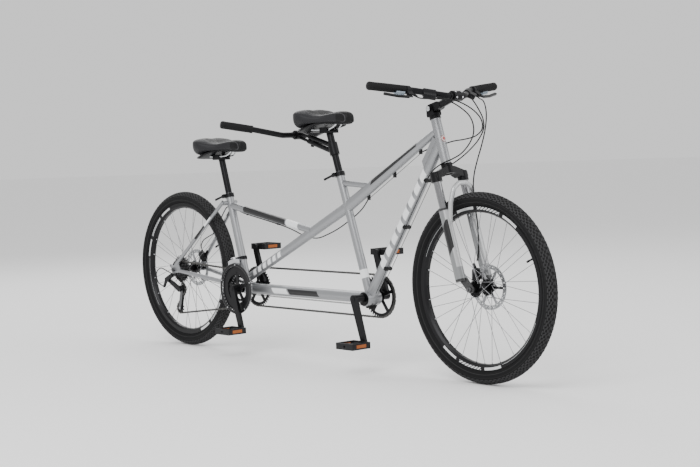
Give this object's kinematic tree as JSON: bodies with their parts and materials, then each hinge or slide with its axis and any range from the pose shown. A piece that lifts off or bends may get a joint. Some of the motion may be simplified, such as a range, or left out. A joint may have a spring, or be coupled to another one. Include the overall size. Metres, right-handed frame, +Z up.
{
  "type": "tandem bicycle",
  "caption": "Tandem bicycle with a long open frame, sprung fork, disc brakes, crossed seating for a captain and a stoker, timing chain and derailleur gears.",
  "frame": {"origin": "on the ground, midway between the two axles", "axes": "+X forwards, +Y to the rider's left, +Z up"},
  "size_m": [2.425, 0.6416, 1.0592],
  "materials": {
    "silver_paint": "satin metallic",
    "black_paint": "satin",
    "fork_grey": "satin",
    "polished_steel": "polished",
    "dark_steel": "satin",
    "spoke_steel": "polished",
    "rim_black": "satin anodised",
    "black_alloy": "satin anodised",
    "silver_alloy": "satin",
    "tyre_rubber": "matt",
    "grip_rubber": "matt",
    "cable_jacket": "satin",
    "black_plastic": "satin",
    "saddle_cover": "matt"
  },
  "bodies": {
    "frame": {"head_tube": "silver_paint", "top_tubes": "silver_paint", "down_tube": "silver_paint", "seat_tubes": "silver_paint", "boom_tube": "silver_paint", "bearings": "dark_steel", "rear_triangle": "silver_paint", "seat_collars": "black_alloy", "frame_cables": "cable_jacket", "front_derailleur": "silver_alloy", "rear_derailleur": "silver_alloy", "rear_brake_caliper": "black_alloy", "rear_axle": "dark_steel", "timing_chain": "dark_steel", "drive_chain": "dark_steel"},
    "steering": {"fork_crown": "black_paint", "fork_stanchions": "polished_steel", "fork_springs": "dark_steel", "stem_base": "black_alloy"},
    "fork_lowers": {"fork_lowers": "fork_grey", "front_axle": "dark_steel", "front_brake_caliper": "black_alloy"},
    "handlebar": {"stem_arm": "black_alloy", "handlebar": "black_alloy", "handlebar_grips": "grip_rubber", "hand_controls": "black_plastic", "bar_to_frame_cables": "cable_jacket", "front_brake_cable": "cable_jacket"},
    "left_brake_lever": {"left_brake_lever": "black_alloy"},
    "right_brake_lever": {"right_brake_lever": "black_alloy"},
    "front_wheel": {"front_tyre": "tyre_rubber", "front_rim": "rim_black", "front_spokes": "spoke_steel", "front_hub": "black_alloy"},
    "rear_wheel": {"rear_tyre": "tyre_rubber", "rear_rim": "rim_black", "rear_spokes": "spoke_steel", "rear_hub": "black_alloy"},
    "freewheel": {"freewheel": "dark_steel"},
    "captain_crank": {"captain_cranks": "black_alloy"},
    "stoker_crank": {"stoker_cranks": "black_alloy", "chainrings": "dark_steel"},
    "captain_left_pedal": {"captain_left_pedal": "black_plastic"},
    "captain_right_pedal": {"captain_right_pedal": "black_plastic"},
    "stoker_left_pedal": {"stoker_left_pedal": "black_plastic"},
    "stoker_right_pedal": {"stoker_right_pedal": "black_plastic"},
    "captain_seat": {"captain_seatpost": "black_alloy", "captain_saddle": "saddle_cover", "stoker_stem": "black_alloy"},
    "stoker_seat": {"stoker_seatpost": "black_alloy", "stoker_saddle": "saddle_cover"},
    "stoker_bars": {"stoker_handlebar": "black_alloy", "stoker_grips": "grip_rubber"},
    "captain_seat_lever": {"captain_seat_lever": "silver_alloy"},
    "stoker_seat_lever": {"stoker_seat_lever": "silver_alloy"},
    "derailleur_cage": {"derailleur_cage": "dark_steel"},
    "upper_jockey": {"upper_jockey": "black_plastic"},
    "lower_jockey": {"lower_jockey": "black_plastic"},
    "front_derailleur_cage": {"front_derailleur_cage": "silver_alloy"}
  },
  "joints": [
    {"name": "steering", "type": "hinge", "parent": "frame", "child": "steering", "pos_m": [0.7, 0, 0.847], "axis": [-0.284, 0, 0.9588], "range_deg": [-60, 60], "deforming": ["bar_to_frame_cables"]},
    {"name": "fork_travel", "type": "slide", "parent": "steering", "child": "fork_lowers", "axis": [-0.284, 0, 0.9588], "range_m": [0, 0.06], "stiffness_N_per_m": 6000, "deforming": ["fork_springs", "front_brake_cable"]},
    {"name": "stem_tilt", "type": "hinge", "parent": "steering", "child": "handlebar", "pos_m": [0.66535, 0, 0.96398], "axis": [0, -1, 0], "range_deg": [-3, 25]},
    {"name": "left_brake", "type": "hinge", "parent": "handlebar", "child": "left_brake_lever", "pos_m": [0.72877, 0.16862, 1.0094], "axis": [0.6147, 0.0567, 0.7867], "range_deg": [0, 9], "stiffness_Nm_per_rad": 1.5, "springref_deg": -14.32},
    {"name": "right_brake", "type": "hinge", "parent": "handlebar", "child": "right_brake_lever", "pos_m": [0.72877, -0.16862, 1.0094], "axis": [-0.6147, 0.0567, -0.7867], "range_deg": [0, 9], "stiffness_Nm_per_rad": 1.5, "springref_deg": -14.32},
    {"name": "front_wheel_spin", "type": "hinge", "parent": "fork_lowers", "child": "front_wheel", "pos_m": [0.8775, 0, 0.335], "axis": [0, 1, 0], "continuous": true},
    {"name": "rear_wheel_spin", "type": "hinge", "parent": "frame", "child": "rear_wheel", "pos_m": [-0.8775, 0, 0.335], "axis": [0, 1, 0], "continuous": true},
    {"name": "freewheel_spin", "type": "hinge", "parent": "frame", "child": "freewheel", "pos_m": [-0.8775, 0, 0.335], "axis": [0, 1, 0], "continuous": true},
    {"name": "stoker_crank_spin", "type": "hinge", "parent": "frame", "child": "stoker_crank", "pos_m": [-0.4463, 0, 0.272], "axis": [0, 1, 0], "continuous": true, "deforming": ["timing_chain", "drive_chain"]},
    {"name": "captain_crank_spin", "type": "hinge", "parent": "frame", "child": "captain_crank", "pos_m": [0.303, 0, 0.272], "axis": [0, 1, 0], "continuous": true},
    {"name": "captain_left_pedal_spin", "type": "hinge", "parent": "captain_crank", "child": "captain_left_pedal", "pos_m": [0.2533, 0.139, 0.43457], "axis": [0, 1, 0], "continuous": true},
    {"name": "captain_right_pedal_spin", "type": "hinge", "parent": "captain_crank", "child": "captain_right_pedal", "pos_m": [0.3527, -0.139, 0.10943], "axis": [0, 1, 0], "continuous": true},
    {"name": "stoker_left_pedal_spin", "type": "hinge", "parent": "stoker_crank", "child": "stoker_left_pedal", "pos_m": [-0.496, 0.139, 0.43457], "axis": [0, 1, 0], "continuous": true},
    {"name": "stoker_right_pedal_spin", "type": "hinge", "parent": "stoker_crank", "child": "stoker_right_pedal", "pos_m": [-0.3966, -0.139, 0.10943], "axis": [0, 1, 0], "continuous": true},
    {"name": "captain_seat_height", "type": "slide", "parent": "frame", "child": "captain_seat", "axis": [-0.309, 0, 0.9511], "range_m": [-0.04, 0.05]},
    {"name": "stoker_seat_height", "type": "slide", "parent": "frame", "child": "stoker_seat", "axis": [-0.2756, 0, 0.9613], "range_m": [-0.05, 0.06]},
    {"name": "stoker_bar_reach", "type": "slide", "parent": "captain_seat", "child": "stoker_bars", "axis": [-0.9593, 0, 0.2825], "range_m": [-0.03, 0.03]},
    {"name": "captain_seat_release", "type": "hinge", "parent": "frame", "child": "captain_seat_lever", "pos_m": [0.14463, -0.026, 0.73353], "axis": [-0.309, 0, 0.9511], "range_deg": [0, 150]},
    {"name": "stoker_seat_release", "type": "hinge", "parent": "frame", "child": "stoker_seat_lever", "pos_m": [-0.56324, -0.026, 0.6508], "axis": [-0.2756, 0, 0.9613], "range_deg": [0, 150]},
    {"name": "derailleur_cage_swing", "type": "hinge", "parent": "frame", "child": "derailleur_cage", "pos_m": [-0.8475, -0.052, 0.25], "axis": [0, 1, 0], "range_deg": [-15, 20], "stiffness_Nm_per_rad": 1.5},
    {"name": "upper_jockey_spin", "type": "hinge", "parent": "derailleur_cage", "child": "upper_jockey", "pos_m": [-0.8475, -0.052, 0.25], "axis": [0, 1, 0], "continuous": true},
    {"name": "lower_jockey_spin", "type": "hinge", "parent": "derailleur_cage", "child": "lower_jockey", "pos_m": [-0.8685, -0.052, 0.167], "axis": [0, 1, 0], "continuous": true},
    {"name": "front_derailleur_shift", "type": "slide", "parent": "frame", "child": "front_derailleur_cage", "axis": [0, 1, 0], "range_m": [-0.008, 0.008], "stiffness_N_per_m": 300}
  ],
  "couplings": [
    {"joint": "captain_crank_spin", "follows": "stoker_crank_spin", "ratio": 1},
    {"joint": "freewheel_spin", "follows": "stoker_crank_spin", "ratio": 2.1111},
    {"joint": "upper_jockey_spin", "follows": "stoker_crank_spin", "ratio": -3.4545},
    {"joint": "lower_jockey_spin", "follows": "stoker_crank_spin", "ratio": 3.4545}
  ]
}
